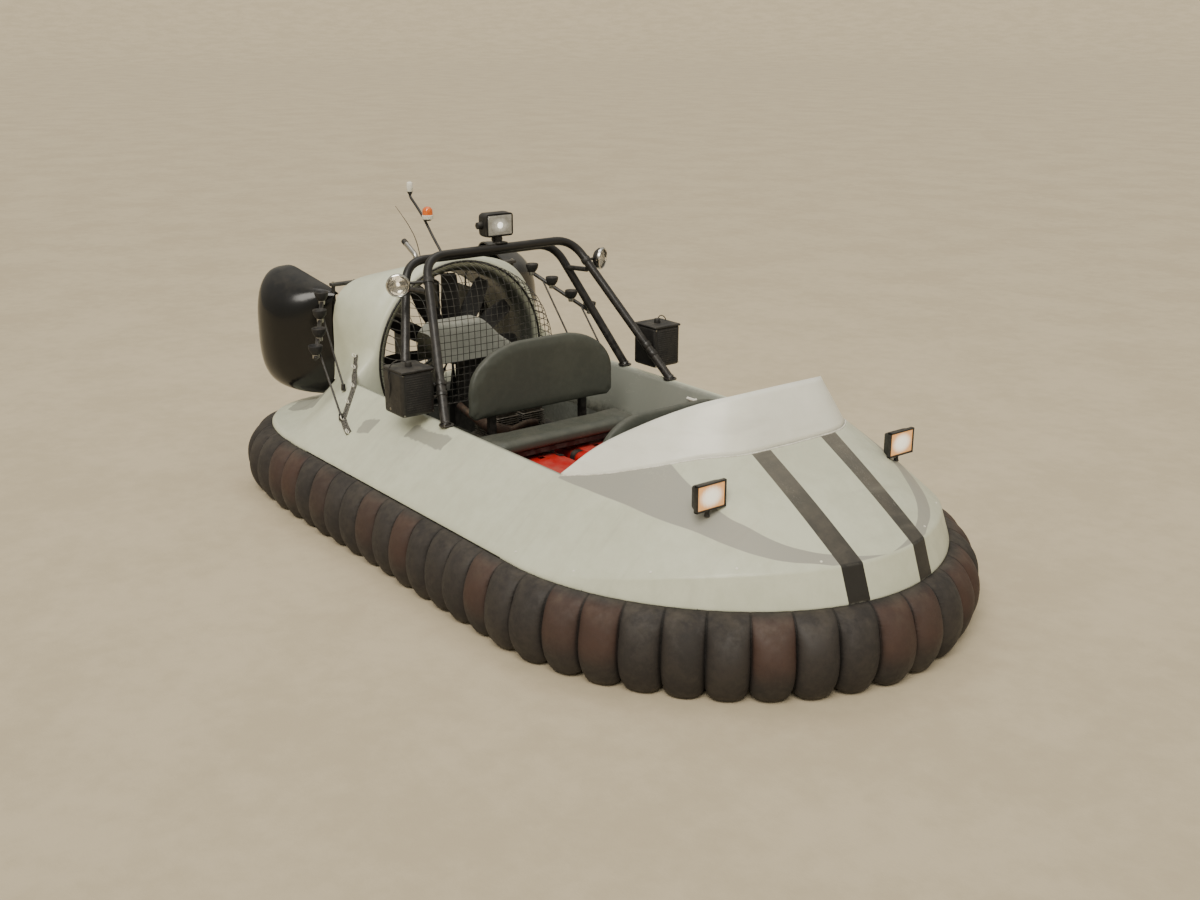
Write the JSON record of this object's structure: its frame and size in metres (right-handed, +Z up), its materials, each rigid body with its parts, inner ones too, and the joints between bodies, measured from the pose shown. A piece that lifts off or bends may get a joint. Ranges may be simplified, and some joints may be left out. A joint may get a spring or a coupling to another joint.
{
  "type": "light recreational hovercraft",
  "caption": "Light air cushion craft with a segmented skirt, open cockpit, roll cage, ducted fan, rudders and swinging reverse thrust buckets.",
  "frame": {"origin": "on the ground, below the middle of the craft's bounding box", "axes": "+X to the nose, +Y to port, +Z up"},
  "size_m": [4.3652, 2.47, 1.645],
  "materials": {
    "hull_grey": "satin painted glassfibre",
    "skirt_fabric": "coated nylon",
    "screen_white": "satin",
    "satin_black": "satin",
    "gloss_black": "gloss",
    "seat_vinyl": "vinyl",
    "tank_red": "gloss",
    "metal_grey": "brushed",
    "cover_grey": "matt",
    "lamp_housing": "satin with a clear lens",
    "beacon_amber": "gloss",
    "lamp_white": "gloss"
  },
  "bodies": {
    "craft": {"hull_tub": "hull_grey", "skirt": "skirt_fabric", "landing_skid_port": "satin_black", "landing_skid_starboard": "satin_black", "foredeck": "hull_grey", "side_deck_port": "hull_grey", "side_deck_starboard": "hull_grey", "aft_deck": "hull_grey", "thrust_floor": "hull_grey", "duct_cowl": "hull_grey", "fan_guard": "satin_black", "shaft_support": "metal_grey", "bucket_frame": "satin_black", "engine_block": "satin_black", "drive_housing": "satin_black", "engine_cover": "cover_grey", "exhaust_stub": "metal_grey", "roll_hoop_front": "satin_black", "roll_hoop_rear": "satin_black", "speaker_port": "satin_black", "speaker_starboard": "satin_black", "round_lamp_port": "lamp_housing", "round_lamp_starboard": "lamp_housing", "searchlight": "lamp_housing", "headlamp_port": "lamp_housing", "headlamp_starboard": "lamp_housing", "windscreen": "screen_white", "dash_console": "satin_black", "rear_seat_base": "metal_grey", "front_seat_base": "metal_grey", "rear_bench_cushion": "seat_vinyl", "front_bench_cushion": "seat_vinyl", "rear_seat_back": "seat_vinyl", "front_seat_back": "seat_vinyl", "rear_seat_struts": "satin_black", "front_seat_struts": "satin_black", "fuel_tank_port": "tank_red", "fuel_tank_starboard": "tank_red", "grab_rail_port": "lamp_white", "grab_rail_starboard": "lamp_white", "steering_column": "satin_black", "side_rack_port": "satin_black", "side_rack_starboard": "satin_black", "mast": "satin_black", "beacon": "beacon_amber", "masthead_lamp": "lamp_white"},
    "fan": {"fan": "satin_black"},
    "helm": {"handlebar": "satin_black"},
    "port_rudder": {"rudder_port": "metal_grey"},
    "centre_rudder": {"rudder_centre": "metal_grey"},
    "starboard_rudder": {"rudder_starboard": "metal_grey"},
    "port_bucket": {"reverse_bucket_port": "gloss_black"},
    "starboard_bucket": {"reverse_bucket_starboard": "gloss_black"}
  },
  "joints": [
    {"name": "fan_spin", "type": "hinge", "parent": "craft", "child": "fan", "pos_m": [-1.38, 0, 0.7], "axis": [1, 0, 0], "continuous": true},
    {"name": "helm_turn", "type": "hinge", "parent": "craft", "child": "helm", "pos_m": [1.06, 0, 0.745], "axis": [-0.1789, 0, 0.9839], "range_deg": [-35, 35]},
    {"name": "rudder_port_turn", "type": "hinge", "parent": "craft", "child": "port_rudder", "pos_m": [-1.56, 0.22, 0.7], "axis": [0, 0, 1], "range_deg": [-28, 28]},
    {"name": "rudder_centre_turn", "type": "hinge", "parent": "craft", "child": "centre_rudder", "pos_m": [-1.56, 0, 0.7], "axis": [0, 0, 1], "range_deg": [-28, 28]},
    {"name": "rudder_starboard_turn", "type": "hinge", "parent": "craft", "child": "starboard_rudder", "pos_m": [-1.56, -0.22, 0.7], "axis": [0, 0, 1], "range_deg": [-28, 28]},
    {"name": "bucket_port_swing", "type": "hinge", "parent": "craft", "child": "port_bucket", "pos_m": [-1.64, 0.612, 0.84], "axis": [0, 0, 1], "range_deg": [0, 78]},
    {"name": "bucket_starboard_swing", "type": "hinge", "parent": "craft", "child": "starboard_bucket", "pos_m": [-1.64, -0.612, 0.84], "axis": [0, 0, -1], "range_deg": [0, 78]}
  ],
  "couplings": [
    {"joint": "rudder_port_turn", "follows": "helm_turn", "ratio": -0.8},
    {"joint": "rudder_centre_turn", "follows": "helm_turn", "ratio": -0.8},
    {"joint": "rudder_starboard_turn", "follows": "helm_turn", "ratio": -0.8}
  ]
}
